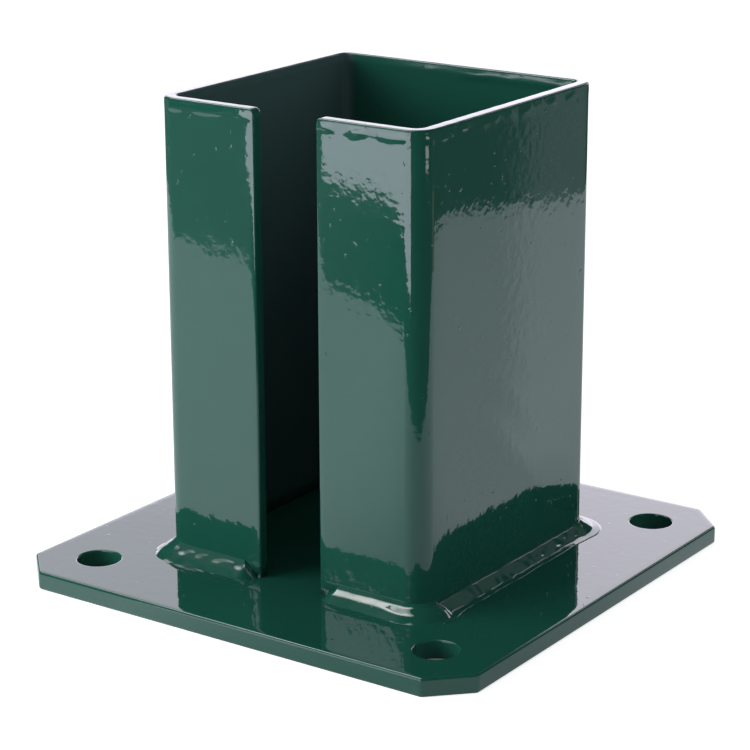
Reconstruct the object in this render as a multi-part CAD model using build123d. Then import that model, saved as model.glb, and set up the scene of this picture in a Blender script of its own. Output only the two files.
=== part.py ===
from build123d import *
import os

# A welded steel base for a square timber post. A flat plate is bolted down to concrete, and on it
# stands a socket folded from one strip of sheet. The two edges of the strip stay apart, which
# leaves a slot up the front wall. Fillet welds run round the outside of the socket's foot.
# Lengths are in millimetres. The origin is at the middle of the plate's underside, +Z is up,
# and the slot faces -Y.

# Timber post that slides down into the socket
post_width = 90.0
post_clearance = 0.5

# Socket, folded from one strip
wall = 4.0
bend_inner_radius = 3.0
socket_height = 150.0
slot_width = 23.0
socket_edge_radius = 0.6

# Base plate
plate_width = 170.0
plate_depth = 170.0
plate_thickness = 6.0
plate_corner_cut = 12.0
plate_edge_radius = 0.6
bolt_hole_diameter = 14.0
bolt_hole_chamfer = 0.4
bolt_edge_distance = 20.0

# Fillet welds: how far each reaches out over the plate, how high it climbs the wall, and how far
# its face stands out from the straight line between its two toes
weld_reach = 6.0
lip_weld_rise = 4.0
lip_weld_bulge = 0.5
side_weld_rise = 2.5
side_weld_bulge = 0.0

# Sizes that follow
socket_inside = post_width + 2 * post_clearance
socket_outside = socket_inside + 2 * wall
socket_half = socket_outside / 2
bend_outer_radius = bend_inner_radius + wall
flat_half = socket_half - bend_outer_radius
bolt_spacing_x = plate_width - 2 * bolt_edge_distance
bolt_spacing_y = plate_depth - 2 * bolt_edge_distance

FROM_BELOW = (Align.CENTER, Align.CENTER, Align.MIN)


def base_plate():
    """Flat plate with its four corners cut off at 45 degrees and a bolt hole near each."""
    blank = Rectangle(plate_width, plate_depth)
    plate = extrude(chamfer(blank.vertices(), plate_corner_cut), plate_thickness)
    levels = plate.edges().group_by(Axis.Z)
    plate = fillet(levels[0] + levels[-1], plate_edge_radius)
    bolt_hole = Cylinder(bolt_hole_diameter / 2, plate_thickness, align=FROM_BELOW)
    plate -= [place * bolt_hole for place in GridLocations(bolt_spacing_x, bolt_spacing_y, 2, 2)]
    rims = plate.edges().filter_by(GeomType.CIRCLE)
    rims = rims.filter_by(lambda edge: abs(edge.radius - bolt_hole_diameter / 2) < 0.001)
    return chamfer(rims, bolt_hole_chamfer)


def post_socket():
    """Square sleeve with bent corners, open at the top, with a slot all the way up its front."""
    outside = RectangleRounded(socket_outside, socket_outside, bend_outer_radius)
    inside = RectangleRounded(socket_inside, socket_inside, bend_inner_radius)
    slot = Pos(0, -socket_half) * Rectangle(slot_width, 3 * wall)
    sleeve = Pos(0, 0, plate_thickness) * extrude(outside - inside - slot, socket_height)
    lip_edges = sleeve.edges().filter_by(Axis.Z)
    lip_edges = lip_edges.filter_by(lambda edge: abs(edge.center().X) < slot_width / 2 + wall / 2)
    sleeve = fillet(lip_edges, socket_edge_radius)
    return fillet(sleeve.edges().group_by(Axis.Z)[-1], socket_edge_radius)


def bead_section(rise, bulge, along):
    """Section of a bead against the front wall, at a place along it: a triangle, rounded out."""
    toe = Vector(-weld_reach, 0)
    top = Vector(0, rise)
    outwards = (top - toe).normalized().rotate(Axis.Z, 90)
    middle = (toe + top) / 2 + outwards * bulge
    weld_face = ThreePointArc(toe, middle, top) if bulge else Line(toe, top)
    outline = Line((0, 0), toe) + weld_face + Line(top, (0, 0))
    foot = Plane((along, -socket_half, plate_thickness), x_dir=(0, 1, 0), z_dir=(1, 0, 0))
    return foot * make_face(outline)


def straight_bead(rise, bulge, start, end):
    """Bead along the front wall from one place to another."""
    return extrude(bead_section(rise, bulge, start), end - start)


def corner_bead(rise, bulge):
    """Bead round the bend between the front wall and the right wall."""
    bend_axis = Axis((flat_half, -flat_half, 0), (0, 0, 1))
    return revolve(bead_section(rise, bulge, flat_half), bend_axis, 90)


def bead_end(rise, bulge, along, turn):
    """Rounded end of a bead against the front wall: +90 ends it to the right, -90 to the left."""
    end_axis = Axis((along, -socket_half, 0), (0, 0, 1))
    return revolve(bead_section(rise, bulge, along), end_axis, turn)


def weld_beads():
    """The five beads. Those on the lips and sides each turn a corner and end on the next wall."""
    next_wall = Rot(0, 0, 90)
    lip_size = (lip_weld_rise, lip_weld_bulge)
    side_size = (side_weld_rise, side_weld_bulge)
    lip_start = slot_width / 2 + weld_reach
    front_right = straight_bead(*lip_size, lip_start, flat_half) + corner_bead(*lip_size)
    front_right += bead_end(*lip_size, lip_start, -90)
    front_right += next_wall * bead_end(*lip_size, -flat_half, 90)
    front_left = mirror(front_right, about=Plane.YZ)
    side = straight_bead(*side_size, -flat_half, flat_half)
    turned_side = side + corner_bead(*side_size)
    turned_side += next_wall * bead_end(*side_size, -flat_half, 90)
    right = next_wall * turned_side - front_right
    left = mirror(right, about=Plane.YZ)
    back = Rot(0, 0, 180) * side - right - left
    return {
        "weld_front_left": front_left,
        "weld_front_right": front_right,
        "weld_right": right,
        "weld_left": left,
        "weld_back": back,
    }


os.makedirs("parts", exist_ok=True)
nodes = {"base_plate": base_plate(), "post_socket": post_socket(), **weld_beads()}
for name, shape in nodes.items():
    export_step(shape, f"parts/{name}.step")
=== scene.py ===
# %% [markdown]
# # A green post base, piece by piece
# The object is a bolt-down base for a square timber post. A flat steel plate carries a socket folded
# from one strip of sheet, five weld beads run round the socket's foot, and everything wears the same
# glossy green powder coat. The model's solids come from CAD, and they say where every surface is.
# This script replaces each of them with a finer surface of the same size, because a gloss coat
# shows things in its reflections that plain solids don't have: soft edges, thick rims, lumpy welds.

# %% Load the frame
import bmesh
import bpy
import numpy as np
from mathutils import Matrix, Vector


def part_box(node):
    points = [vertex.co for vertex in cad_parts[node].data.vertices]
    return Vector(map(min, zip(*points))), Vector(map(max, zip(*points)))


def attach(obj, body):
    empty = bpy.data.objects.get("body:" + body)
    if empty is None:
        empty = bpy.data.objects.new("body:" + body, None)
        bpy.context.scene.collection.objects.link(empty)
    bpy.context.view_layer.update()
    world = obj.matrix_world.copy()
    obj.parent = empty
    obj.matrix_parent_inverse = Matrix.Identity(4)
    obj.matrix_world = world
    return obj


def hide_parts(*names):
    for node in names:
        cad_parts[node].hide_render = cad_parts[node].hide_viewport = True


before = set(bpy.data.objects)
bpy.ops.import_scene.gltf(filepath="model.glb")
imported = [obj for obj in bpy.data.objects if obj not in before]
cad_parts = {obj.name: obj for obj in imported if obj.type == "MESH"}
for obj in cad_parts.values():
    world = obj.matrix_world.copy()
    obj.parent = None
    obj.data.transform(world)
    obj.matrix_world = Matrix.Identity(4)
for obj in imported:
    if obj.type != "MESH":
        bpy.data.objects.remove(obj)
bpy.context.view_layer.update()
MM = 0.001
print("solids:", sorted(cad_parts))

# %% [markdown]
# The sizes are read from the solids where they show them, so the surfaces can't drift away from the
# model. Only what a box doesn't tell is written here: the sheet's thickness and bend, the cropped
# corners, the holes and how far the edges are rounded. The lip's weld starts at the slot's edge, so
# its box gives the slot's width.

# %% Sizes of the pieces
plate_low, plate_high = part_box("base_plate")
socket_low, socket_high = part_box("post_socket")
plate_half = plate_high.x
plate_top = plate_high.z
socket_half = socket_high.x
rim_height = socket_high.z
slot_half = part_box("weld_front_right")[0].x
wall = 4.0 * MM
bend_outer_radius = 7.0 * MM
flat_half = socket_half - bend_outer_radius
cut_radius = 0.7 * MM
rim_radius = 0.7 * MM
corner_cut = 12.0 * MM
bolt_edge_distance = 20.0 * MM
bolt_place = plate_half - bolt_edge_distance
bolt_hole_radius = 7.0 * MM
print("plate", round(2 * plate_half / MM, 1), "socket", round(2 * socket_half / MM, 1),
      "slot", round(2 * slot_half / MM, 1))

# %% [markdown]
# The camera stands where the photographer's did: a little above the rim, to the right of the slot.
# It is placed by the point it looks at, its distance and three angles, which is easier to reason
# about than a location and a rotation. The frame is shifted slightly, as in the photograph.

# %% Camera
camera_target = np.array([0.0, 0.0, 0.068])
camera_distance = 0.81074
azimuth, elevation, roll = np.radians([34.78, 16.86, -0.13])
flat_share = np.cos(elevation)
back = np.array([np.sin(azimuth) * flat_share, -np.cos(azimuth) * flat_share, np.sin(elevation)])
level = np.array([np.cos(azimuth), np.sin(azimuth), 0.0])
upright = np.cross(back, level)
right = np.cos(roll) * level + np.sin(roll) * upright
up = -np.sin(roll) * level + np.cos(roll) * upright
camera_data = bpy.data.cameras.new("camera")
camera_data.lens = 121.25
camera_data.sensor_width = 36.0
camera_data.shift_x = -0.0064
camera_data.shift_y = -0.0221
camera = bpy.data.objects.new("camera", camera_data)
bpy.context.scene.collection.objects.link(camera)
placed = np.eye(4)
placed[:3, :3] = np.stack([right, up, back], axis=1)
placed[:3, 3] = camera_target + camera_distance * back
camera.matrix_world = placed.T
bpy.context.scene.camera = camera
bpy.context.scene.view_settings.view_transform = "Standard"
print("camera at", np.round(placed[:3, 3], 3))

# %% [markdown]
# Every surface below is a grid of points, worked out as whole arrays. Four helpers serve all of
# them. One joins neighbouring points with quads, and one spaces points so that they crowd together
# where a surface curves. One gives a slow wander with no jumps, for what the hand and the spray gun
# leave uneven. The last turns grids into a piece that stands for its solid.

# %% Quads of a grid
def grid_quads(rows, columns, ring=False):
    """Quad (i, j), (i, j+1), (i+1, j+1), (i+1, j) for each cell; a ring also joins the last column to the
    first."""
    cells = columns if ring else columns - 1
    row, column = np.meshgrid(np.arange(rows - 1), np.arange(cells), indexing="ij")
    after = (column + 1) % columns
    corners = [row * columns + column, row * columns + after,
               (row + 1) * columns + after, (row + 1) * columns + column]
    return np.stack(corners, axis=-1).reshape(-1, 4)


print("a ring of 3 rows of 4 points has", len(grid_quads(3, 4, ring=True)), "quads")


# %% Crowded spacing
def crowd(start, end, places, fine, coarse, reach):
    """Positions from start to end. Their spacing is fine at the places and grows to coarse at reach from
    them: the number of steps is the integral of 1 / spacing, and equal shares of it give the positions."""
    line = np.linspace(start, end, 6001)
    gap = np.abs(line[:, None] - np.asarray(places)).min(axis=1)
    spacing = fine + (coarse - fine) * np.clip(gap / reach, 0.0, 1.0)
    steps = np.concatenate([[0.0], np.cumsum(np.diff(line) * 2 / (spacing[1:] + spacing[:-1]))])
    return np.interp(np.linspace(0.0, steps[-1], int(np.ceil(steps[-1])) + 1), steps, line)


print("crowded at 0:", np.round(crowd(0.0, 1.0, [0.0], 0.05, 0.3, 1.0), 2))


# %% Slow wander
def wander(place, wavelength, seed):
    """Sum of five sine waves round the wavelength, with seeded phases, between about -1 and 1."""
    random = np.random.RandomState(seed)
    length = wavelength * random.uniform(0.6, 1.8, 5)
    phase = random.uniform(0.0, 2 * np.pi, 5)
    waves = np.sin(2 * np.pi * np.asarray(place)[..., None] / length + phase)
    return waves.sum(axis=-1) / 2.5


print("a wander:", np.round(wander(np.linspace(0.0, 1.0, 6), 0.5, 1), 2))


# %% One piece from its grids
weld_distance = 0.0001 * MM


def make_piece(name, grids, node, material):
    """Puts (points, ring) grids into one mesh, merges the points that meet, which closes the seams and the
    poles, turns the faces outward, and lets the piece stand for its solid."""
    points = np.concatenate([grid.reshape(-1, 3) for grid, ring in grids])
    first = np.cumsum([0] + [grid.shape[0] * grid.shape[1] for grid, ring in grids])
    quads = np.concatenate([grid_quads(grid.shape[0], grid.shape[1], ring) + start
                            for (grid, ring), start in zip(grids, first)])
    mesh = bpy.data.meshes.new(name)
    mesh.from_pydata(points, [], quads)
    body = bmesh.new()
    body.from_mesh(mesh)
    bmesh.ops.remove_doubles(body, verts=body.verts, dist=weld_distance)
    bmesh.ops.recalc_face_normals(body, faces=body.faces)
    open_edges = sum(not edge.is_manifold for edge in body.edges)
    volume = body.calc_volume(signed=True)
    body.to_mesh(mesh)
    body.free()
    mesh.shade_smooth()
    mesh.materials.append(material)
    piece = bpy.data.objects.new(name, mesh)
    bpy.context.scene.collection.objects.link(piece)
    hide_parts(node)
    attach(piece, "root")
    print(name, len(mesh.polygons), "faces", open_edges, "open edges", round(volume / MM**3), "mm3")


# %% [markdown]
# Materials are made of nodes, and most nodes here do one small sum. A few helpers place a node, feed
# its inputs with a number or with another node's output, and hand back its output, so that a
# material below reads like a formula.

# %% Helpers for nodes
def node_at(tree, kind, x, y, **values):
    """A node of that kind at (x, y), with its plain settings."""
    node = tree.nodes.new(kind)
    node.location = (x, y)
    for setting, value in values.items():
        setattr(node, setting, value)
    return node


def feed(tree, node, **inputs):
    """Gives each named input of a node a value, or links it to another node's output. An underscore in the
    name stands for a space."""
    for name, value in inputs.items():
        socket = node.inputs[name.replace("_", " ")]
        if isinstance(value, bpy.types.NodeSocket):
            tree.links.new(value, socket)
        else:
            socket.default_value = value
    return node


def math_at(tree, x, y, operation, first, second):
    """The output of a Math node on two values, each a number or an output."""
    node = node_at(tree, "ShaderNodeMath", x, y, operation=operation)
    for socket, value in zip(node.inputs, (first, second)):
        if isinstance(value, bpy.types.NodeSocket):
            tree.links.new(value, socket)
        else:
            socket.default_value = value
    return node.outputs[0]


def ramp_at(tree, x, y, value, start, end, before=0.0, after=1.0):
    """`before` up to start, `after` from end on, and a straight line between, from a Map Range node."""
    node = node_at(tree, "ShaderNodeMapRange", x, y)
    feed(tree, node, Value=value, From_Min=start, From_Max=end, To_Min=before, To_Max=after)
    return node.outputs["Result"]


def mix_at(tree, x, y, kind, factor, first, second):
    """first * (1 - factor) + second * factor, of two colours (RGBA) or two numbers (FLOAT)."""
    node = node_at(tree, "ShaderNodeMix", x, y, data_type=kind)
    return feed(tree, node, Factor=factor, A=first, B=second).outputs["Result"]


def noise_at(tree, x, y, place, density, detail, roughness):
    """Noise between 0 and 1 at a place, with about `density` bumps in a metre."""
    node = node_at(tree, "ShaderNodeTexNoise", x, y, noise_dimensions="3D")
    feed(tree, node, Vector=place, Scale=density, Detail=detail, Roughness=roughness)
    return node.outputs["Fac"]


def axes_at(tree, x, y, place):
    """The X, Y and Z outputs of a place."""
    parts = node_at(tree, "ShaderNodeSeparateXYZ", x, y)
    tree.links.new(place, parts.inputs[0])
    return parts.outputs


def sides_at(tree, x, y, place):
    """The outputs |X|, |Y| and |Z| of a place: how far it is from each middle plane."""
    size_of = node_at(tree, "ShaderNodeVectorMath", x, y, operation="ABSOLUTE")
    tree.links.new(place, size_of.inputs[0])
    return axes_at(tree, x + 200, y, size_of.outputs["Vector"])


# %% [markdown]
# Gloss powder coat melts in the oven and sets before it is quite level. What stays is orange peel:
# bumps two or three millimetres across and hundredths of a millimetre high, on top of longer and
# shallower waves. They are too shallow to see by themselves, but they make every reflected edge
# ragged. Near the socket's foot the coat has also run a little, and a few specks of dust sit in it.
# All the pieces wear it, so it is one node group, placed in each material with its own sizes. It
# puts out a height in metres, and a tone that lets colour and gloss vary a little.

# %% Orange peel node group
tone_density = 45.0
run_density = 420.0
run_stretch = 0.5
run_foot = 8 * MM
speck_density = 520.0
speck_start = 0.80
speck_full = 0.90
speck_height = 0.05 * MM


def orange_peel_group():
    """Height = peel depth * fine noise + specks + wave depth * slow noise + run depth * stretched noise,
    where the last fades out from the foot to Run Top. Tone = another slow noise, 0 to 1."""
    tree = bpy.data.node_groups.new("orange_peel", "ShaderNodeTree")
    tree.interface.new_socket("Coordinates", in_out="INPUT", socket_type="NodeSocketVector")
    for name in ("Peel Density", "Peel Depth", "Wave Density", "Wave Depth", "Run Depth", "Run Top"):
        tree.interface.new_socket(name, in_out="INPUT", socket_type="NodeSocketFloat")
    for name in ("Height", "Tone"):
        tree.interface.new_socket(name, in_out="OUTPUT", socket_type="NodeSocketFloat")
    given = node_at(tree, "NodeGroupInput", -1100, 0).outputs
    place = given["Coordinates"]
    peel = noise_at(tree, -600, 250, place, given["Peel Density"], 2.0, 0.5)
    wave = noise_at(tree, -600, 0, place, given["Wave Density"], 2.6, 0.5)
    tone = noise_at(tree, -600, -250, place, tone_density, 3.0, 0.6)
    speck = noise_at(tree, -600, 500, place, speck_density, 0.0, 0.5)
    stretch = node_at(tree, "ShaderNodeVectorMath", -800, -500, operation="MULTIPLY")
    tree.links.new(place, stretch.inputs[0])
    stretch.inputs[1].default_value = (1.0, 1.0, run_stretch)
    run = noise_at(tree, -600, -500, stretch.outputs["Vector"], run_density, 1.0, 0.5)
    above_floor = axes_at(tree, -800, -750, place)["Z"]
    fade = ramp_at(tree, -600, -750, above_floor, run_foot, given["Run Top"], 1.0, 0.0)
    specks = ramp_at(tree, -400, 500, speck, speck_start, speck_full, 0.0, speck_height)
    peel_height = math_at(tree, -400, 250, "MULTIPLY", peel, given["Peel Depth"])
    wave_height = math_at(tree, -400, 0, "MULTIPLY", wave, given["Wave Depth"])
    run_depth = math_at(tree, -400, -750, "MULTIPLY", fade, given["Run Depth"])
    run_height = math_at(tree, -200, -500, "MULTIPLY", run, run_depth)
    with_specks = math_at(tree, -200, 400, "ADD", peel_height, specks)
    with_waves = math_at(tree, 0, 200, "ADD", with_specks, wave_height)
    height = math_at(tree, 250, 0, "ADD", with_waves, run_height)
    feed(tree, node_at(tree, "NodeGroupOutput", 500, 0), Height=height, Tone=tone)
    return tree


orange_peel = orange_peel_group()
print("group", orange_peel.name, "with", len(orange_peel.nodes), "nodes")

# %% [markdown]
# The coat itself is a dark green under a hard gloss. A pigmented gloss sends back more light than
# one clear surface would, so its index of refraction is set higher than a plastic's, which is the
# simplest way to get that strength. The tone drives a slight change of colour and gloss. The spray
# hardly reached the inside of the socket, so its inner faces are duller. The left inner face is also
# painted a lighter grey: a painted sheen for the light it reflects. Both are masks on the object's
# own coordinates: they need no second material, and they stay where they are from every side.

# %% Powder coat material
coat_greens = [(0.0095, 0.083, 0.058, 1.0), (0.0125, 0.097, 0.068, 1.0)]
coat_roughness = [0.03, 0.06]
coat_refraction = 1.85
# Painted sheen: a lighter, greyer colour on the left inner face that stands in for the light it reflects.
painted_sheen_grey = (0.060, 0.105, 0.110, 1.0)
inner_roughness = 0.16
mask_edge = 0.5 * MM
# Where the painted sheen on the left inner face fades in.
left_full = -44 * MM
left_end = -41 * MM
nowhere = -1 * MM
run_top = 45 * MM


def powder_coat(name, peel, wave, run_depth=0.0, inside=nowhere):
    """Principled shader in the coat's green, with the orange peel as its bump and a slight mottle. `peel` and
    `wave` are pairs of a density and a depth. The inner faces are where |x| and |y| are both less than
    `inside`. The left one lies to the left of left_end and is painted a lighter grey, a painted sheen."""
    material = bpy.data.materials.new(name)
    material.use_nodes = True
    tree = material.node_tree
    tree.nodes.clear()
    place = node_at(tree, "ShaderNodeTexCoord", -1200, 0).outputs["Object"]
    skin = node_at(tree, "ShaderNodeGroup", -750, 0, node_tree=orange_peel)
    feed(tree, skin, Coordinates=place, Peel_Density=peel[0], Peel_Depth=peel[1], Wave_Density=wave[0],
         Wave_Depth=wave[1], Run_Depth=run_depth, Run_Top=run_top)
    sides = sides_at(tree, -1000, 700, place)
    larger = math_at(tree, -600, 700, "MAXIMUM", sides["X"], sides["Y"])
    inner = ramp_at(tree, -400, 700, larger, inside, inside + mask_edge, 1.0, 0.0)
    left = ramp_at(tree, -600, 950, axes_at(tree, -800, 950, place)["X"], left_full, left_end, 1.0, 0.0)
    # Mask of the painted sheen: the inner faces that lie on the left.
    painted_sheen_mask = math_at(tree, -400, 950, "MULTIPLY", inner, left)
    green = mix_at(tree, -400, 250, "RGBA", skin.outputs["Tone"], *coat_greens)
    gloss = ramp_at(tree, -400, 0, skin.outputs["Tone"], 0.0, 1.0, *coat_roughness)
    bump = node_at(tree, "ShaderNodeBump", -400, -300)
    feed(tree, bump, Strength=1.0, Distance=1.0, Height=skin.outputs["Height"])
    shader = node_at(tree, "ShaderNodeBsdfPrincipled", 0, 0)
    feed(tree, shader, IOR=coat_refraction, Normal=bump.outputs["Normal"],
         # The base colour turns to the painted sheen's grey on the left inner face.
         Base_Color=mix_at(tree, -150, 450, "RGBA", painted_sheen_mask, green, painted_sheen_grey),
         Roughness=mix_at(tree, -150, 100, "FLOAT", inner, gloss, inner_roughness))
    feed(tree, node_at(tree, "ShaderNodeOutputMaterial", 350, 0), Surface=shader.outputs["BSDF"])
    return material


socket_coat = powder_coat("socket_coat", (265.0, 0.042 * MM), (30.0, 0.07 * MM), 0.06 * MM,
                          socket_half - wall + 0.1 * MM)
plate_coat = powder_coat("plate_coat", (280.0, 0.03 * MM), (25.0, 0.05 * MM))
weld_coat = powder_coat("weld_coat", (420.0, 0.012 * MM), (120.0, 0.03 * MM))
print("materials", [material.name for material in (socket_coat, plate_coat, weld_coat)])

# %% [markdown]
# The socket is one strip of sheet, folded at four bends. A walk round it does the folding: `core`
# goes along a square, `facing` turns a quarter at each corner of it, and a point of the sheet lies
# at its own radius from the core. The radius is 7 mm for the outside and 3 mm for the inside, so one
# formula gives both faces and the bends between the flats, and the welds can use it as well.

# %% Walk round the socket
bend_length = bend_outer_radius * np.pi / 2
flat_length = 2 * flat_half
walk_knots = np.cumsum([-flat_half] + [flat_length, bend_length] * 4 + [flat_length])
walk_facing = np.repeat([0.0, 90.0, 180.0, 270.0, 360.0], 2)
walk_x = flat_half * np.array([-1, 1, 1, 1, 1, -1, -1, -1, -1, 1])
walk_y = flat_half * np.array([-1, -1, -1, 1, 1, 1, 1, -1, -1, -1])
full_walk = 4 * (flat_length + bend_length)


def core(along):
    """Point of the square that the walk goes round, at a distance along the socket's outside."""
    return np.stack([np.interp(along, walk_knots, walk_x), np.interp(along, walk_knots, walk_y)], axis=-1)


def outward(facing):
    """Direction that faces away from the socket: 0 degrees is -Y, 90 is +X."""
    angle = np.radians(facing)
    return np.stack([np.sin(angle), -np.cos(angle)], axis=-1)


def facing_at(along):
    """Where the wall faces at a distance along the outside, in degrees."""
    return np.interp(along, walk_knots, walk_facing)


print("once round the socket:", round(full_walk / MM, 1), "mm")

# %% [markdown]
# Sheet that has been cut and folded isn't quite flat near its edges. At the slot the cut rolls the
# edge inward, before each bend the wall starts to lean, and under the rim the coat gathers into a
# fat edge. Inside the back wall it has gathered into a thicker, wavy one. These are tenths and
# hundredths of a millimetre, but the gloss shows them all.

# %% Small departures of the faces
roll_over = 0.21 * MM
roll_over_reach = 0.825 * MM
early_bend = 0.14 * MM
early_bend_reach = 2.0 * MM
fat_edge = 0.085 * MM
fat_edge_depth = 2.7 * MM
fat_edge_width = 1.2 * MM
left_lip_place = 32 * MM
left_lip_width = 15 * MM
gathered_edge = 0.50 * MM
gathered_depth = 2.4 * MM
gathered_width = 1.7 * MM
gathered_place = full_walk / 2 - 12 * MM
gathered_reach = 38 * MM


def fat_edge_at(along, height, seed):
    """Ridge under the rim: a bell curve down the wall, whose size and depth wander along it. It is twice as
    high on the left lip."""
    left_lip = np.exp(-((full_walk - along - left_lip_place) / left_lip_width) ** 2)
    swell = np.clip(1.0 + left_lip + 0.75 * wander(along, 9.0 * MM, seed), 0.1, None)
    depth = fat_edge_depth * (1.0 + 0.2 * wander(along, 14.0 * MM, seed + 1))
    place = (rim_height - height - depth[:, None]) / fat_edge_width
    return fat_edge * swell[:, None] * np.exp(-place**2)


def gathered_edge_at(along, height):
    """Thicker ridge inside the back wall: a bell curve down it, exp(-distance^6) along it, and a wander."""
    reach = np.exp(-((along - gathered_place) / gathered_reach) ** 6)
    size = gathered_edge * reach * (1 + 0.3 * wander(along, 22 * MM, 8))
    return size[:, None] * np.exp(-((rim_height - height - gathered_depth) / gathered_width) ** 2)


def cut_and_bend(along):
    """How far the outer face falls back by the slot and by each bend: a depth times
    exp(-distance / reach)."""
    from_slot = np.minimum(along - slot_half, full_walk - slot_half - along)
    bend_middles = (walk_knots[1:8:2] + walk_knots[2:9:2]) / 2
    from_bend = np.abs(along[:, None] - bend_middles).min(axis=1) - bend_length / 2
    lean = early_bend * np.exp(-np.clip(from_bend, 0.0, None) / early_bend_reach)
    return roll_over * np.exp(-from_slot / roll_over_reach) + lean


print("the outer face falls back", round(cut_and_bend(np.array([slot_half]))[0] / MM, 2), "mm at the slot")

# %% [markdown]
# The strip's upright section is a loop: up the outside, over the rounded rim, down the inside and
# back along the foot. Each of its points is told by numbers between 0 and 1, so that the rim's
# radius can shrink towards the strip's two cut edges, where the rim and the cut meet.

# %% The sheet's section
rim_steps = 6
across = np.linspace(1.0, -1.0, 7)


def sheet_section(level, knee):
    """Loop of the section: side (1 outside, -1 inside), the share of the rim's radius by which a point lies
    in from the face (1 - cos t) and above the knee (sin t), and the height these start from."""
    quarter = np.linspace(0.0, np.pi / 2, rim_steps + 2)[1:-1]
    face = np.zeros(len(level))
    foot = across[-2:0:-1]
    over = np.ones(rim_steps)
    side = np.concatenate([face + 1, over, across, -over, face - 1, foot])
    away = 1 - np.cos(quarter)
    lift = np.sin(quarter)
    top = np.ones(len(across))
    inward = np.concatenate([face, away, top, away[::-1], face, 0 * foot])
    above = np.concatenate([face, lift, top, lift[::-1], face, 0 * foot])
    bend = np.full(2 * rim_steps + len(across), knee)
    below = np.concatenate([level, bend, level[::-1], 0 * foot + plate_top])
    return side, inward, above, below


def cut_edges(surface, upright):
    """The two flat cut edges of the strip: straight rungs from its outer face to its inner one, closed by
    the section's own points at the foot and over the rim."""
    share = ((1 - across) / 2)[None, :, None]
    caps = []
    for end in (surface[0], surface[-1]):
        outside = end[:upright, None, :]
        inside = end[upright + len(across):2 * upright + len(across)][::-1][:, None, :]
        ladder = outside * (1 - share) + inside * share
        ladder[0] = end[-np.arange(len(across))]
        caps.append((np.concatenate([ladder, end[None, upright:upright + len(across)]]), False))
    return caps


print("a section with 2 points up each face is a loop of", len(sheet_section(np.zeros(2), 0.0)[0]), "points")


# %% The socket's surface
slot_corner = 1.7 * MM
cut_steps = 5


def socket_grids():
    """The section carried along the walk. At the two ends of the strip it shrinks by r (1 - cos t) while it
    moves on by r sin t, which rounds the cut edges, and the columns there are shorter by
    R - sqrt(R^2 - (R - u)^2), which rounds the upper corner of the slot."""
    bends = np.concatenate([np.linspace(a, b, 9) for a, b in zip(walk_knots[1:8:2], walk_knots[2:9:2])])
    ends = np.array([slot_half, full_walk - slot_half])
    along = crowd(ends[0] + cut_radius, ends[1] - cut_radius, np.concatenate([ends, bends]),
                  0.15 * MM, 1.6 * MM, 5.0 * MM)
    turn = np.linspace(0.0, np.pi / 2, cut_steps + 1)[1:]
    middle = np.zeros(len(along))
    along = np.concatenate([np.full(cut_steps, along[0]), along, np.full(cut_steps, along[-1])])
    ahead = cut_radius * np.concatenate([-np.sin(turn[::-1]), middle, np.sin(turn)])
    inset = cut_radius * np.concatenate([1 - np.cos(turn[::-1]), middle, 1 - np.cos(turn)])
    knee = rim_height - rim_radius
    level = crowd(plate_top, knee, [knee, rim_height - 3 * MM], 0.25 * MM, 5.0 * MM, 14.0 * MM)
    side, inward, above, below = sheet_section(level, knee)
    radius = rim_radius - inset[:, None]
    height = below + above * radius
    cut = np.clip(np.minimum(along + ahead - ends[0], ends[1] - along - ahead), 0.0, slot_corner)
    drop = slot_corner - np.sqrt(slot_corner**2 - (slot_corner - cut) ** 2)
    height = plate_top + (height - plate_top) * (1 - drop / (rim_height - plate_top))[:, None]
    soft = 1.0 + 0.12 * wander(along, 8.0 * MM, 5)[:, None]
    depth = side * (wall / 2 - inset[:, None] - inward * radius * soft)
    outer = np.clip(side, 0.0, 1.0)
    inner = np.clip(-side, 0.0, 1.0)
    depth = depth + outer * (fat_edge_at(along, height, 3) - cut_and_bend(along)[:, None])
    depth = depth - inner * (fat_edge_at(along, height, 7) + gathered_edge_at(along, height))
    from_core = bend_outer_radius - wall / 2 + depth
    facing = facing_at(along)
    place = core(along)[:, None, :] + from_core[..., None] * outward(facing)[:, None, :]
    place = place + (outward(facing + 90.0) * ahead[:, None])[:, None, :]
    surface = np.concatenate([place, height[..., None]], axis=-1)
    return [(surface, True)] + cut_edges(surface, len(level) + rim_steps)


make_piece("post_socket_coated", socket_grids(), "post_socket", socket_coat)

# %% [markdown]
# The plate is cut from flat bar, with its corners cropped and four bolt holes punched. Seen from
# each hole the plate's quarter is a simple shape, so a quarter is made as a ring surface: every
# column of it starts at the plate's outline below, runs to the hole, up the hole's wall and back
# out to the outline on top. Three mirrored copies and one band round the edge close the plate.

# %% The plate's outline
plate_edge_radius = 0.9 * MM
plate_corner_radius = 1.6 * MM


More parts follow.
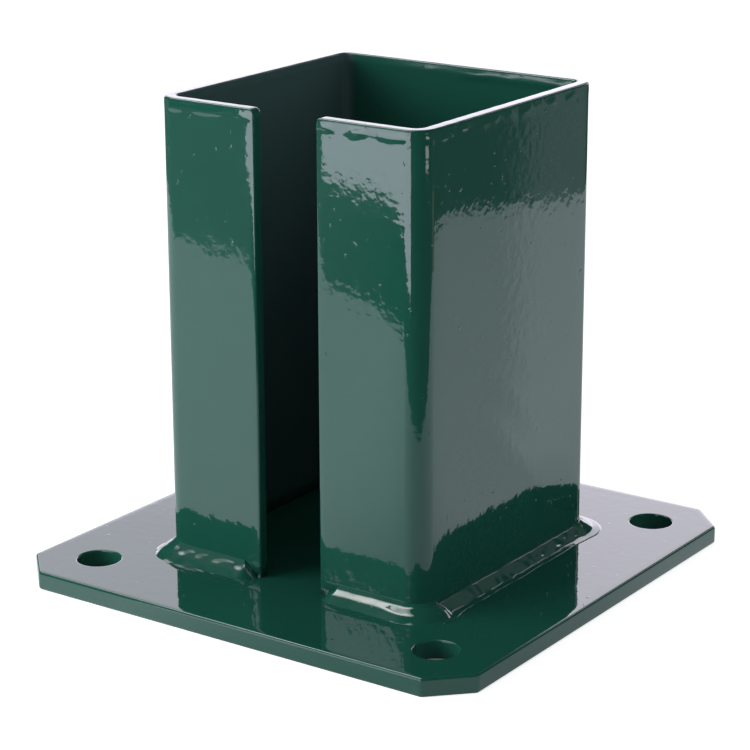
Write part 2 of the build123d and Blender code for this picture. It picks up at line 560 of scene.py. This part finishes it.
def outline_quarter():
    """Outline of the plate from +X round to +Y: points and outward directions. Two straight runs and the
    cropped corner between them, joined by two arcs of 45 degrees, which start r tan(22.5) before the
    corner."""
    reach = plate_corner_radius * np.tan(np.pi / 8)
    low_arc_centre = np.array([plate_half - plate_corner_radius, plate_half - corner_cut - reach])
    turn = np.linspace(0.0, np.pi / 4, 7)
    arc = np.stack([np.cos(turn), np.sin(turn)], axis=-1)
    run = crowd(0.0, low_arc_centre[1], [low_arc_centre[1], bolt_place], 0.3 * MM, 2.0 * MM, 6.0 * MM)[:-1]
    first = np.stack([np.full(len(run), plate_half), run], axis=-1)
    first_out = np.tile([1.0, 0.0], (len(run), 1))
    low_arc = low_arc_centre + plate_corner_radius * arc
    crop = np.linspace(low_arc[-1], low_arc[-1][::-1], 9)[1:-1]
    crop_out = np.tile([np.sqrt(0.5), np.sqrt(0.5)], (len(crop), 1))
    points = np.concatenate([first, low_arc, crop, low_arc[::-1, ::-1], first[::-1, ::-1]])
    directions = np.concatenate([first_out, arc, crop_out, arc[::-1, ::-1], first_out[::-1, ::-1]])
    return points, directions


outline, outline_out = outline_quarter()
print("outline of a quarter:", len(outline), "points")


# %% A quarter of the plate
hole_edge_radius = 0.55 * MM


def plate_quarter():
    """Ring surface between the bolt hole and the quarter's outline: hole point + share (outline point - hole
    point), where both lie in the same direction from the hole's middle. The hole's edge is a quarter turn
    of its own radius. The lower half is the upper one mirrored."""
    flat_edge = outline - plate_edge_radius * outline_out
    steps = np.linspace(0.0, 1.0, 22)
    to_middle = np.stack([0 * steps, flat_edge[-1, 1] * (1 - steps)], axis=-1)[1:-1]
    from_middle = to_middle[::-1, ::-1]
    loop = np.concatenate([flat_edge, to_middle, np.zeros((1, 2)), from_middle])
    middle = np.array([bolt_place, bolt_place])
    direction = (loop - middle) / np.linalg.norm(loop - middle, axis=1)[:, None]
    quarter = np.linspace(0.0, np.pi / 2, 6)
    share = np.concatenate([[0.0, 0.006, 0.015, 0.03, 0.06], np.linspace(0.1, 1.0, 9)])
    rim_out = hole_edge_radius * (1 - np.sin(quarter[::-1]))
    rim_up = plate_top - hole_edge_radius * (1 - np.cos(quarter[::-1]))
    wall_up = np.linspace(rim_up[0], plate_top / 2, 5)[:-1]
    flat = middle + (bolt_hole_radius + hole_edge_radius) * direction
    top = flat + share[1:, None, None] * (loop - flat)
    top = np.concatenate([top, np.full(top.shape[:2] + (1,), plate_top)], axis=-1)
    ring_radius = bolt_hole_radius + np.concatenate([0 * wall_up, rim_out])
    ring_up = np.concatenate([wall_up[::-1], rim_up])
    ring = middle + ring_radius[:, None, None] * direction
    ring_up = np.broadcast_to(ring_up[:, None, None], ring.shape[:2] + (1,))
    ring = np.concatenate([ring, ring_up], axis=-1)
    upper = np.concatenate([ring, top])
    lower = upper[::-1] * [1, 1, -1] + [0, 0, plate_top]
    return np.concatenate([lower, upper])


print("a quarter of the plate:", len(plate_quarter()), "rings")


# %% The whole plate
def plate_grids():
    """The quarter mirrored over both middle planes, and the band round the plate's edge: rounded, straight
    and rounded again."""
    quarter = plate_quarter()
    grids = [(quarter * [x, y, 1], True) for x in (1, -1) for y in (1, -1)]
    second = outline[::-1] * [-1, 1]
    second_out = outline_out[::-1] * [-1, 1]
    points = np.concatenate([outline, second[1:], -outline[1:], -second[1:-1]])
    out = np.concatenate([outline_out, second_out[1:], -outline_out[1:], -second_out[1:-1]])
    turn = np.linspace(0.0, np.pi / 2, 8)
    inset = plate_edge_radius * (1 - np.sin(turn))
    up_edge = plate_top - plate_edge_radius * (1 - np.cos(turn))
    inset = np.concatenate([inset, [0.0, 0.0], inset[::-1]])
    height = np.concatenate([up_edge, [plate_top * 0.6, plate_top * 0.4], plate_top - up_edge[::-1]])
    band = points[None] - inset[:, None, None] * out[None]
    band_up = np.broadcast_to(height[:, None, None], band.shape[:2] + (1,))
    return grids + [(np.concatenate([band, band_up], axis=-1), True)]


make_piece("base_plate_coated", plate_grids(), "base_plate", plate_coat)

# %% [markdown]
# A fillet weld is a bead of metal drawn along the joint. Its section is a rough triangle with a
# bulging face, and the coat fills the creases where it meets the wall and the plate. The section
# is a smooth curve pulled by seven points. At the sides its two ends lie along the wall and the
# plate, so it leaves both without a crease, and at the lips they dip just under them. It is carried
# along the same walk as the socket's wall, and its size wanders, because a hand held the torch. At
# a rounded end the section swings round like a door.

# %% Spline weights
def spline_weights(count, samples):
    """Weights of the control points of a clamped quadratic B-spline, one row per sample, by the usual rule:
    the weights of each degree are blends of two neighbours of the degree below."""
    knots = np.concatenate([[0.0, 0.0], np.arange(count - 1), [count - 2.0, count - 2.0]])
    place = np.linspace(0.0, count - 2 - 1e-9, samples)[:, None]
    weights = ((knots[:-1] <= place) & (place < knots[1:])).astype(float)
    for degree in (1, 2):
        span = knots[degree:] - knots[:-degree]
        safe = np.where(span > 0, span, 1.0)
        rising = (place - knots[:-degree]) / safe * (span > 0)
        falling = (1.0 - rising) * (span > 0)
        weights = rising[:, :-1] * weights[:, :-1] + falling[:, 1:] * weights[:, 1:]
    return weights


section_points = 7
section_weights = spline_weights(section_points, 30)
print("weights add up to", np.round(section_weights.sum(axis=1)[[0, 12, 29]], 6))


# %% A weld bead's surface
end_steps = 13
hidden_depth = 0.6 * MM
rippled_points = [0, 0, 1, 1, 1, 1, 0]


def bead_grid(start, end, section, seed, uneven, ripple, lumps=()):
    """Control points (out, up) of the section carried along the walk from start to end. Both are stretched by
    1 + uneven * wander, and the middle points move by a ripple of their own. Each lump (place, width, extra
    out, extra up, extra foot) adds a bell curve exp(-(distance / width)^2), its extras in millimetres. A
    last column inside the wall and the plate closes the bead."""
    section = np.array(section) * MM
    reach = section[-1, 0]
    run = np.linspace(start, end, int((end - start) / (0.4 * MM)) + 2)
    swing = np.linspace(90.0, 0.0, end_steps + 1)[:-1]
    along = np.concatenate([np.full(end_steps, start), run, np.full(end_steps, end)])
    turn = np.concatenate([-swing, np.zeros(len(run)), swing[::-1]])
    travelled = along + np.radians(turn) * reach
    slow_and_quick = wander(travelled, 24 * MM, seed) + 0.3 * wander(travelled, 7 * MM, seed + 20)
    wide = 1 + uneven * slow_and_quick
    high = 1 + uneven * wander(travelled, 18 * MM, seed + 1) - 0.1 * (turn / 90) ** 2
    foot_out = 0.0
    for place, width, extra_out, extra_up, extra_foot in lumps:
        bell = np.exp(-((travelled - place) / width) ** 2)
        wide = wide + extra_out * MM / reach * bell
        high = high + extra_up * MM / section[0, 1] * bell
        foot_out = foot_out + extra_foot * MM * bell
    push = np.stack([wander(travelled, 7 * MM, seed + 2 + point) for point in range(section_points)], axis=-1)
    push = ripple * push * rippled_points
    out = section[:, 0] * wide[:, None] + push
    out[:, -1] = out[:, -1] + foot_out
    out = out @ section_weights.T
    rise_to = (section[:, 1] * high[:, None] + push) @ section_weights.T
    hidden = np.full((len(along), 1), -hidden_depth)
    out = np.concatenate([out, hidden], axis=1)
    rise_to = np.concatenate([rise_to, hidden], axis=1)
    wall_foot = core(along) + bend_outer_radius * outward(facing_at(along))
    place = wall_foot[:, None, :] + out[..., None] * outward(facing_at(along) + turn)[:, None, :]
    surface = np.concatenate([place, plate_top + rise_to[..., None]], axis=-1)
    first = np.broadcast_to(surface[:1, -1:], surface[:1].shape)
    last = np.broadcast_to(surface[-1:, -1:], surface[:1].shape)
    return np.concatenate([first, surface, last])


# %% [markdown]
# The sections are in millimetres, out over the plate and up the wall. The right lip's bead is full
# and even, the left one's rounder and lumpy, and those of the sides lower and hollow. Each has its
# fuller places where the torch turned a corner. The left beads are made on the right and mirrored.

# %% The five beads
lip_weld_reach = 6.0 * MM
lip_start = slot_half + lip_weld_reach
side_start = flat_half + bend_length
back_start = side_start + flat_length + bend_length
back_end = back_start + flat_length
front_bend = flat_half + bend_length / 2
back_bend = back_start - bend_length / 2
full_section = [(-0.5, 5.3), (0.55, 3.95), (1.8, 3.1), (3.1, 2.25), (3.8, 1.5), (5.1, 0.1), (5.7, -0.6)]
round_section = [(-0.5, 5.5), (0.5, 4.3), (1.9, 3.2), (3.1, 2.2), (4.1, 1.1), (5.0, 0.1), (5.6, -0.6)]
side_section = [(0, 2.8), (0, 2.5), (0.8, 2.1), (2.4, 1.22), (3.6, 0.56), (4.6, 0.16), (6.6, 0)]
mirrored = np.array([-1, 1, 1])
beads = {
    "front_right": bead_grid(lip_start + 1.5 * MM, side_start, full_section, 11, 0.02, 0.012 * MM,
                             [(flat_half + 6 * MM, 10 * MM, 1.0, -0.6, 0.3)]),
    "front_left": mirrored * bead_grid(lip_start, side_start, round_section, 21, 0.03, 0.08 * MM,
                                       [(front_bend, 6 * MM, 1.1, 0.4, 1.2)]),
    "right": bead_grid(side_start - 2 * MM, back_start, side_section, 31, 0.035, 0.06 * MM,
                       [(back_bend, 6 * MM, 0.2, 1.0, 0.3), (side_start, 5 * MM, 0.6, 0.0, 0.5)]),
    "left": mirrored * bead_grid(side_start - 2 * MM, back_start, side_section, 41, 0.04, 0.03 * MM,
                                 [(back_bend, 6 * MM, 1.4, 0.5, 1.0)]),
    "back": bead_grid(back_start, back_end, side_section, 51, 0.04, 0.03 * MM),
}
for place, grid in beads.items():
    make_piece("weld_" + place + "_coated", [(grid, True)], "weld_" + place, weld_coat)

# %% [markdown]
# The floor is plain and pale. Seen by the camera it glows almost white by itself, and what the
# lamps add on top carries the object's soft shadow. Under the plate it doesn't glow, so that the
# bolt holes stay dark. The world is white to the camera and in reflections, and much dimmer as a
# light, so that it only fills the shade.

# %% Floor
floor_half = 12.0
floor_glow = 0.76
glow_step = 3 * MM


def stage_object(name, points, ring, material):
    """A grid as part of the studio, which doesn't belong to the object."""
    mesh = bpy.data.meshes.new(name)
    mesh.from_pydata(points.reshape(-1, 3), [], grid_quads(points.shape[0], points.shape[1], ring))
    mesh.materials.append(material)
    stage = bpy.data.objects.new(name, mesh)
    bpy.context.scene.collection.objects.link(stage)
    return stage


def seen_directly(tree, x, y):
    """1 for rays from the camera, for reflections and for rays through glass, 0 for light that spreads."""
    path = node_at(tree, "ShaderNodeLightPath", x, y).outputs
    seen = math_at(tree, x + 200, y, "MAXIMUM", path["Is Camera Ray"], path["Is Glossy Ray"])
    return math_at(tree, x + 400, y, "MAXIMUM", seen, path["Is Transmission Ray"])


def glowing_floor():
    """Pale grey with a glow beyond the plate, whose outline is where the larger of |x|, |y| and
    |x| + |y| - (half the side - the crop) reaches half the side."""
    material = bpy.data.materials.new("floor")
    material.use_nodes = True
    tree = material.node_tree
    place = node_at(tree, "ShaderNodeTexCoord", -1500, -700).outputs["Object"]
    sides = sides_at(tree, -1300, -700, place)
    square = math_at(tree, -850, -700, "MAXIMUM", sides["X"], sides["Y"])
    both = math_at(tree, -1050, -900, "ADD", sides["X"], sides["Y"])
    cropped = math_at(tree, -850, -900, "SUBTRACT", both, plate_half - corner_cut)
    reach = math_at(tree, -650, -700, "MAXIMUM", square, cropped)
    beyond = ramp_at(tree, -450, -700, reach, plate_half - glow_step, plate_half, 0.0, floor_glow)
    glow = math_at(tree, -200, -400, "MULTIPLY", seen_directly(tree, -900, -400), beyond)
    feed(tree, tree.nodes["Principled BSDF"], Base_Color=(0.8, 0.8, 0.8, 1.0), Roughness=0.9,
         Specular_IOR_Level=0.0, Emission_Color=(1.0, 1.0, 1.0, 1.0), Emission_Strength=glow)
    return material


span = [-floor_half, floor_half]
floor_points = np.stack(np.meshgrid(span, span, [0.0]), axis=-1)[:, :, 0]
stage_object("floor", floor_points, False, glowing_floor())
print("floor", 2 * floor_half, "m wide")

# %% World
world_as_light = 0.32
world_seen = 1.0
world = bpy.data.worlds.new("world")
bpy.context.scene.world = world
world.use_nodes = True
tree = world.node_tree
strength = ramp_at(tree, -200, 0, seen_directly(tree, -900, 0), 0.0, 1.0, world_as_light, world_seen)
feed(tree, tree.nodes["Background"], Color=(1.0, 1.0, 1.0, 1.0), Strength=strength)
print("world at", world_seen, "when seen and", world_as_light, "as a light")

# %% [markdown]
# A gloss surface is a mirror of its studio, so the studio is built as cards that only show in
# reflections: they cast no light and no shadow. Their brightness is a number at each point of the
# card. The photograph's reflections say what stood where: a pale table with an edge, a soft box low
# at the front left and another high up on the left, a bright backdrop behind, a small bright card
# and a brown one to the right, and darkness everywhere else.

# %% Reflection cards
def card_material():
    """Emission whose strength is the card's own attribute."""
    material = bpy.data.materials.new("reflection_card")
    material.use_nodes = True
    tree = material.node_tree
    tree.nodes.clear()
    tint = node_at(tree, "ShaderNodeAttribute", -600, 0, attribute_name="glow")
    light = node_at(tree, "ShaderNodeEmission", 0, 0)
    output = node_at(tree, "ShaderNodeOutputMaterial", 200, 0)
    tree.links.new(tint.outputs["Color"], light.inputs["Color"])
    tree.links.new(light.outputs[0], output.inputs["Surface"])
    return material


card = card_material()
print("material", card.name, "shines as its attribute says")


def reflection_card(name, points, brightness, ring=False, colour=(1.0, 1.0, 1.0)):
    """A card that only reflections see, with its brightness at each point of its grid."""
    stage = stage_object(name, points, ring, card)
    glow = stage.data.attributes.new("glow", "FLOAT_COLOR", "POINT")
    shade = np.broadcast_to(np.asarray(brightness, dtype=float), points.shape[:2]).reshape(-1, 1)
    values = np.concatenate([shade * np.asarray(colour), np.ones((len(shade), 1))], axis=1)
    glow.data.foreach_set("color", values.astype(np.float32).ravel())
    stage.visible_camera = False
    stage.visible_diffuse = False
    stage.visible_shadow = False
    stage.visible_transmission = False
    stage.visible_volume_scatter = False


# %% Table with an edge
table_azimuth = np.arange(0.0, 360.0, 1.0)


def by_azimuth(pairs):
    """Value at each azimuth of the table, in straight lines between the given (azimuth, value) pairs."""
    angles, values = np.array(sorted(pairs)).T
    return np.interp(table_azimuth, angles, values, period=360.0)


edge_distance = by_azimuth([(-39, 0.504), (-31, 0.43), (-24.6, 0.37), (0.4, 0.306), (12, 0.276), (30, 0.262),
                            (53, 0.251), (72.5, 0.267), (92, 0.309), (98, 0.354), (110, 0.44),
                            (139.8, 0.535), (147.6, 0.57), (180, 0.6), (-90, 0.6)])
table_shade = by_azimuth([(-150, 0.6), (-90, 0.8), (-35, 0.85), (-24, 0.88), (-16, 0.78), (0, 0.52),
                          (30, 0.36), (60, 0.38), (90, 0.5), (120, 0.62), (147, 0.61), (180, 0.6)])
beyond_shade = by_azimuth([(-90, 0.12), (-60, 0.15), (-35, 0.15), (-25, 0.02), (60, 0.02), (120, 0.05),
                           (180, 0.05)])
near_shade = by_azimuth([(90, 0), (115, 1), (150, 1), (175, 0)])
print("table edge from", round(edge_distance.min(), 3), "to", round(edge_distance.max(), 3), "m away")

# %% [markdown]
# The table is a fan of rings round the object. Two lie under the plate and are dark, eight go from
# the plate to the table's edge, and ten cover what lies beyond. Seen from the right wall, the part
# of the table between 148 and 170 degrees is lighter, and so is what lies next to the plate on the
# right.

# %% The table's rings
table_colour = (0.93, 1.0, 1.07)
table_height = 0.1 * MM
soft_edge = 0.004
plate_gap = 1 * MM
under_shade = 0.02
lighter_shade = 0.2
lighter_from = 148.2
lighter_to = 170.0
near_boost = 0.12
inside = np.linspace(0.0, 1.0, 8)[:, None]
outside = np.array([0.0, 0.05, 0.1, 0.15, 0.2, 0.3, 0.4, 0.6, 1.0, 2.5])[:, None]
direction = outward(table_azimuth)
square_reach = plate_half / np.abs(direction).max(axis=1)
crop_reach = (2 * plate_half - corner_cut) / np.abs(direction).sum(axis=1)
plate_reach = np.minimum(square_reach, crop_reach) - plate_gap
near = plate_reach + plate_gap
radii = np.concatenate([[0 * near, plate_reach], near + inside * (edge_distance - soft_edge - near),
                        edge_distance + soft_edge + outside])
shades = np.concatenate([np.full((2, len(table_azimuth)), under_shade),
                         np.tile(table_shade, (len(inside), 1)), np.tile(beyond_shade, (len(outside), 1))])
from_wall = radii[..., None] * direction[None] - [socket_half, 0.0]
seen_along = np.degrees(np.arctan2(from_wall[..., 0], -from_wall[..., 1]))
lighter = np.clip((seen_along - lighter_from) / 1.2, 0.0, 1.0)
lighter = lighter * np.clip((lighter_to - seen_along) / 15.0, 0.0, 1.0)
shades = shades + lighter_shade * lighter * (radii > near)
shades[2:10] = shades[2:10] * (1 + near_boost * (1 - inside) * near_shade)
table_up = np.full(radii.shape + (1,), table_height)
table_points = np.concatenate([radii[..., None] * direction[None], table_up], axis=-1)
reflection_card("table_card", table_points, shades, ring=True, colour=table_colour)
print("table of", len(radii), "rings, brightness", round(shades.min(), 2), "to", round(shades.max(), 2))

# %% [markdown]
# The tent closes the studio above the floor. It is dark, but for the backdrop, which stands behind
# the object and ends at a straight top edge. That edge has a notch towards the right, and the
# backdrop is brighter low down. A faint glow stands high on the left.

# %% Dark tent with a bright backdrop
tent_colour = (0.98, 0.93, 1.06)
tent_dark = 0.015
tent_radius = 1.6
backdrop_azimuth = -158.0
backdrop_half_width = 45.0
backdrop_top = 36.8
notch_top = 12.0
notch_sides = [-37.0, -34.5, -14.5, -12.0]
brighter_side = [5.0, 20.0]
low_part = [16.0, 19.0]
glow_azimuth = -62.0
glow_elevation = 48.0
tent_azimuth = np.arange(0.0, 360.0, 2.5)
tent_elevation = np.array([-4.0, -1, 1, 4, 7, 10, 14, 16, 18, 20, 24, 28, 32, 35.5, 36.8, 38, 42, 46, 50, 60,
                           75, 90])


def turned_from(azimuth):
    """How far the tent's columns are turned from an azimuth, from -180 to 180 degrees."""
    return (tent_azimuth[None, :] - azimuth + 180.0) % 360.0 - 180.0


lifted = tent_elevation[:, None]
turned = turned_from(backdrop_azimuth)
sides_fade = np.clip((backdrop_half_width - np.abs(turned)) / 4.0, 0.0, 1.0)
backdrop_shade = sides_fade * np.interp(turned, brighter_side, [2.3, 1.55])
top_edge = np.interp(turned, notch_sides, [backdrop_top, notch_top, notch_top, backdrop_top])
upright_fade = np.clip((lifted + 1.0) / 2.0, 0.0, 1.0) * np.clip((top_edge - lifted) / 1.3, 0.0, 1.0)
low_boost = np.interp(lifted, low_part, [1.0, 0.0]) * np.interp(turned, brighter_side, [0.12, 0.6])
halo = 0.05 * np.clip((lifted - 34.0) / 2.0, 0.0, 1.0) * np.clip((46.0 - lifted) / 4.0, 0.0, 1.0)
glow_reach = (turned_from(glow_azimuth) / 20.0) ** 2 + ((lifted - glow_elevation) / 11.0) ** 2
left_glow = 0.18 * np.exp(-glow_reach)
tent_shade = tent_dark + backdrop_shade * (upright_fade * (1 + low_boost) + halo) + left_glow
tent_out = outward(tent_azimuth)[None] * np.cos(np.radians(lifted))[..., None]
tent_up = np.broadcast_to(np.sin(np.radians(lifted)), tent_shade.shape)
tent_points = tent_radius * np.concatenate([tent_out, tent_up[..., None]], axis=-1)
reflection_card("tent_card", tent_points, tent_shade, ring=True, colour=tent_colour)
print("tent brightness", round(tent_shade.min(), 3), "to", round(tent_shade.max(), 2))

# %% [markdown]
# The low soft box is a standing card whose brightness is given at each height, because the slotted
# wall, the plate and the inside of the back wall each mirror another height of it. The high one
# faces the object and fades towards its edges.

# %% Soft boxes and small cards
def upright_card(name, start, end, heights, brightness, colour=(1.0, 1.0, 1.0)):
    """A flat card standing on the floor from one place to another, with its brightness at each height."""
    heights = np.asarray(heights)[:, None, None]
    ends = np.broadcast_to(np.array([start, end]), (len(heights), 2, 2))
    points = np.concatenate([ends, np.broadcast_to(heights, (len(heights), 2, 1))], axis=-1)
    reflection_card(name, points, np.asarray(brightness)[:, None], colour=colour)


def towards(azimuth, elevation):
    """The direction there as a unit vector, and two more across it: level to its side, and upwards."""
    flat = outward(azimuth) * np.cos(np.radians(elevation))
    away = np.array([flat[0], flat[1], np.sin(np.radians(elevation))])
    side = np.cross([0.0, 0.0, 1.0], away)
    side = side / np.linalg.norm(side)
    return away, side, np.cross(away, side)


def facing_card(name, azimuth, elevation, distance, half_size, brightness):
    """A flat card in that direction, turned towards the object, with its brightness on a grid of 4 by 4
    points, of which the outer ones are its fading edge."""
    away, side, rise = towards(azimuth, elevation)
    steps = np.array([-1.0, -0.35, 0.35, 1.0])
    along, over = np.meshgrid(steps * half_size[0], steps * half_size[1])
    points = distance * away + along[..., None] * side + over[..., None] * rise
    reflection_card(name, points, brightness)


upright_card("low_soft_box_card", (0.10, -0.426), (-0.385, -0.55),
             [0.0, 0.06, 0.11, 0.14, 0.165, 0.245, 0.258, 0.34, 0.37],
             [2.1, 2.2, 2.6, 0.7, 0.12, 0.12, 2.4, 2.2, 0.05], colour=(0.98, 0.97, 1.12))
upright_card("small_bright_card", (0.70, -0.15), (0.70, 0.04), [0.0, 0.06], [1.8, 1.8])
facing_card("high_soft_box_card", -91.0, 66.0, 0.9, (0.25, 0.42),
            np.outer([0.15, 1.0, 1.0, 0.15], [0.5, 3.2, 5.6, 1.0]))
brown_points = np.array([[[0.405, 0.18, 0.001], [0.36, 0.26, 0.001]],
                         [[0.56, 0.25, 0.001], [0.50, 0.36, 0.001]]])
reflection_card("brown_card", brown_points, 0.3, colour=(1.0, 0.62, 0.55))

# %% [markdown]
# The lamps give the spread light. One soft lamp stands low at the front left, where the reflections
# put the soft box, and lights the slotted wall. A weaker one fills the right wall. Neither shows in
# the gloss, because the cards already do that.

# %% Lamps
lamp_aim = np.array([0.0, 0.0, 0.08])


def soft_lamp(name, azimuth, elevation, distance, size, watts):
    """A rectangular area lamp in that direction from the aim, turned towards it."""
    away, side, rise = towards(azimuth, elevation)
    lamp_data = bpy.data.lights.new(name, "AREA")
    lamp_data.shape = "RECTANGLE"
    lamp_data.size, lamp_data.size_y = size
    lamp_data.energy = watts
    lamp = bpy.data.objects.new(name, lamp_data)
    bpy.context.scene.collection.objects.link(lamp)
    matrix = np.eye(4)
    matrix[:3, :3] = np.stack([side, rise, away], axis=1)
    matrix[:3, 3] = lamp_aim + distance * away
    lamp.matrix_world = matrix.T
    lamp.visible_glossy = False
    lamp.visible_camera = False
    print(name, "at", np.round(matrix[:3, 3], 2), watts, "W")


soft_lamp("key_lamp", -42.0, 18.0, 0.9, (0.7, 0.5), 6.9)
soft_lamp("fill_lamp", 100.0, 25.0, 1.2, (0.8, 0.8), 2.0)
